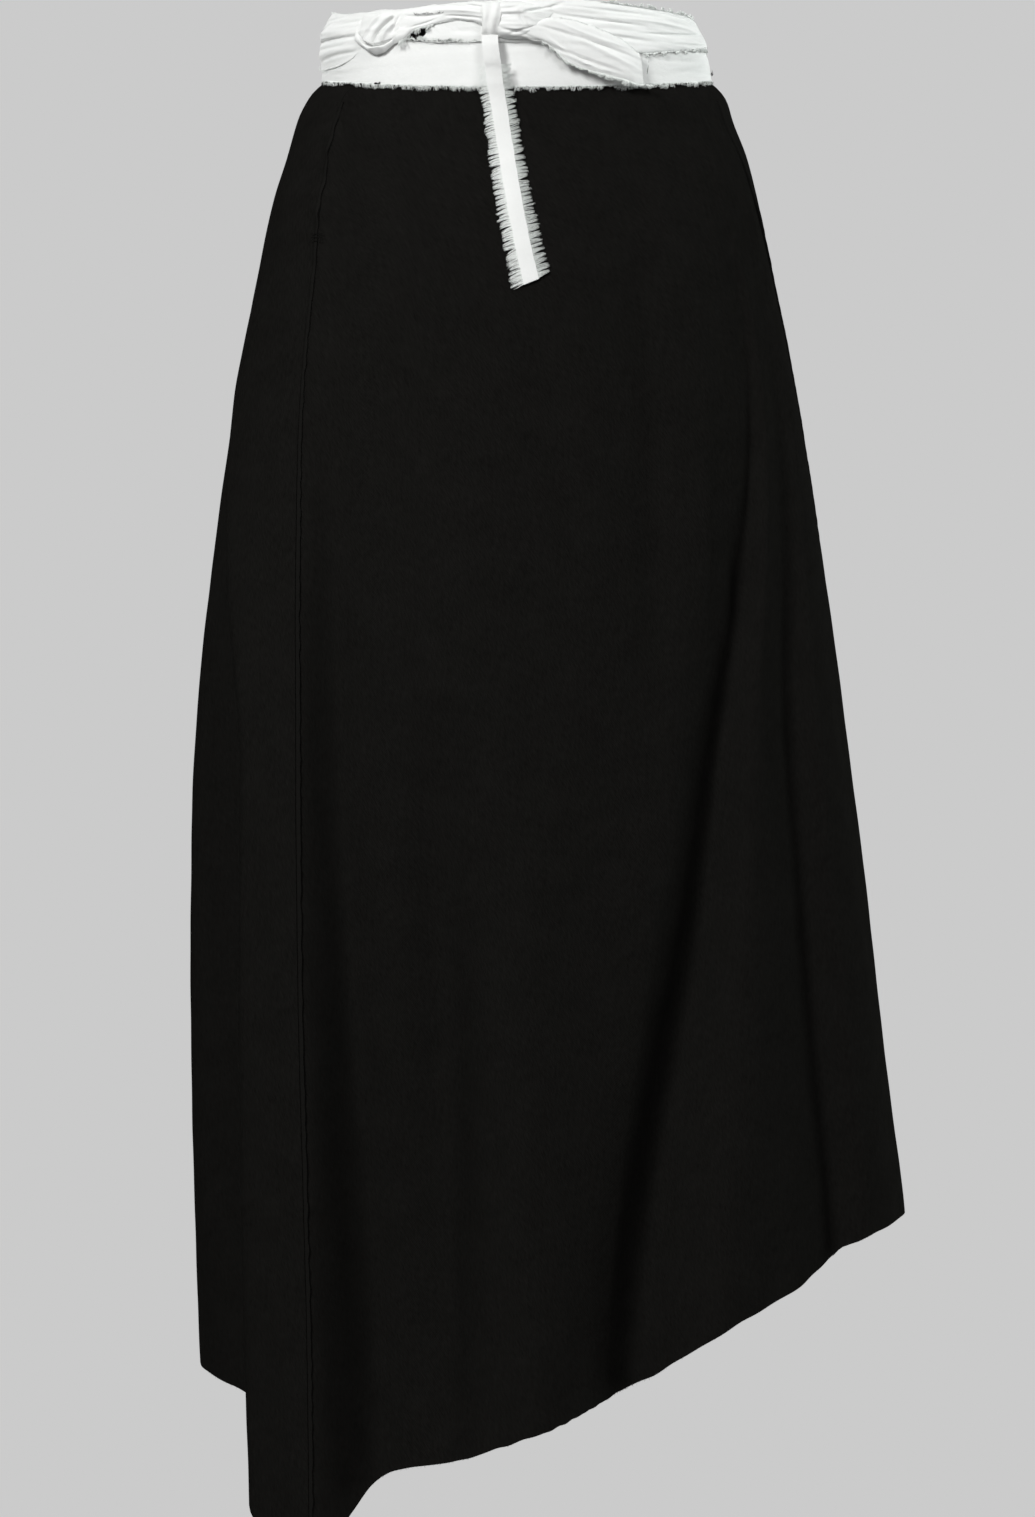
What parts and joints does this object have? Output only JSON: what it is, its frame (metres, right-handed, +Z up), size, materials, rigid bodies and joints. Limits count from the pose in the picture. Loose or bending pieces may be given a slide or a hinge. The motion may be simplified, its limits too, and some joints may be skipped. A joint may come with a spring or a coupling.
{
  "type": "asymmetric midi skirt with a tie waist",
  "caption": "Long flared skirt with a slanting raw hem, a frayed waistband and a knotted tie belt, filled out as when worn.",
  "frame": {"origin": "middle of the waist opening, level with the waist seam at the sides, where the wearer holds the skirt up", "axes": "+Z up along the skirt's length, -Y the front, +X to the viewer's right when the front is seen"},
  "size_m": [0.4834, 0.3451, 1.0245],
  "materials": {
    "black_twill": "fine twill with a faint sheen, raw cut edges",
    "white_cotton": "crumpled cotton with frayed edges"
  },
  "bodies": {
    "root": {"front_panel": "black_twill", "back_panel": "black_twill", "left_seam_ridge": "black_twill", "right_seam_ridge": "black_twill", "waistband": "white_cotton", "waistband_fringe": "white_cotton", "tie_wrap_left": "white_cotton", "tie_twist": "white_cotton", "tie_strand": "white_cotton", "tie_wrap_right": "white_cotton", "tie_wrap_back": "white_cotton", "tie_knot": "white_cotton", "tie_tail": "white_cotton", "tie_tail_fringe": "white_cotton", "tie_end": "white_cotton", "tie_end_fringe_left": "white_cotton", "tie_end_fringe_right": "white_cotton"}
  },
  "joints": []
}
